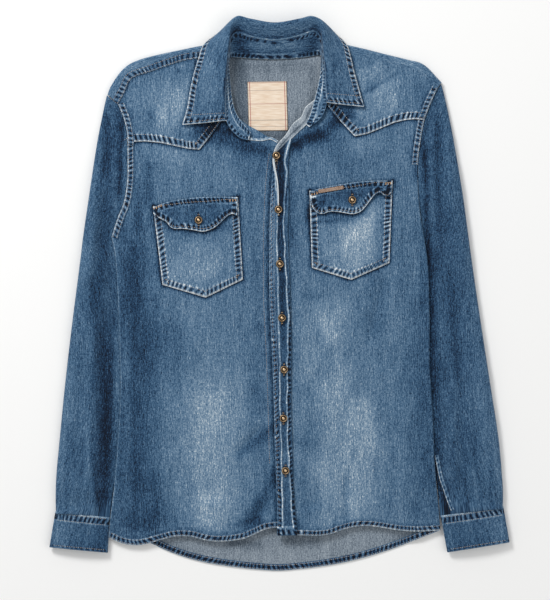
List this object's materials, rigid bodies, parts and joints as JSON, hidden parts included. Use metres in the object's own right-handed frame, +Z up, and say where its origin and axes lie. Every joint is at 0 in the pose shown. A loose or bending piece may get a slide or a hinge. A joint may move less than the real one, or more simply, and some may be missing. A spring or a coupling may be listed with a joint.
{
  "type": "denim shirt",
  "caption": "Long-sleeved western denim shirt laid flat, front up, with pointed yokes, flapped chest pockets, a buttoned placket and an open turned-down collar.",
  "frame": {"origin": "centre of the underside of the whole shirt's bounding box, on the surface it lies on", "axes": "+Y from the hem to the collar, +X to the wearer's left, +Z up from the surface, the shirt's front"},
  "size_m": [0.6528, 0.7852, 0.0269],
  "materials": {
    "denim": "washed indigo denim, right side",
    "denim_wrong_side": "washed indigo denim, paler wrong side",
    "brass": "aged, satin",
    "label_cloth": "smooth woven label",
    "leather": "plain tan"
  },
  "bodies": {
    "root": {"back": "denim_wrong_side", "back_yoke": "denim_wrong_side", "front_right": "denim", "front_left": "denim", "yoke_right": "denim", "yoke_left": "denim", "placket": "denim", "neck_facing": "denim_wrong_side", "sleeve_right": "denim", "sleeve_left": "denim", "cuff_right": "denim", "cuff_left": "denim", "collar_stand": "denim_wrong_side", "collar_leaf": "denim", "pocket_right": "denim", "pocket_left": "denim", "flap_right": "denim", "flap_left": "denim", "pocket_tab": "leather", "neck_label": "label_cloth", "button_1": "brass", "button_2": "brass", "button_3": "brass", "button_4": "brass", "button_5": "brass", "button_6": "brass", "button_7": "brass", "flap_button_right": "brass", "flap_button_left": "brass", "collar_button": "brass", "cuff_button_right": "brass", "cuff_button_left": "brass"}
  },
  "joints": []
}
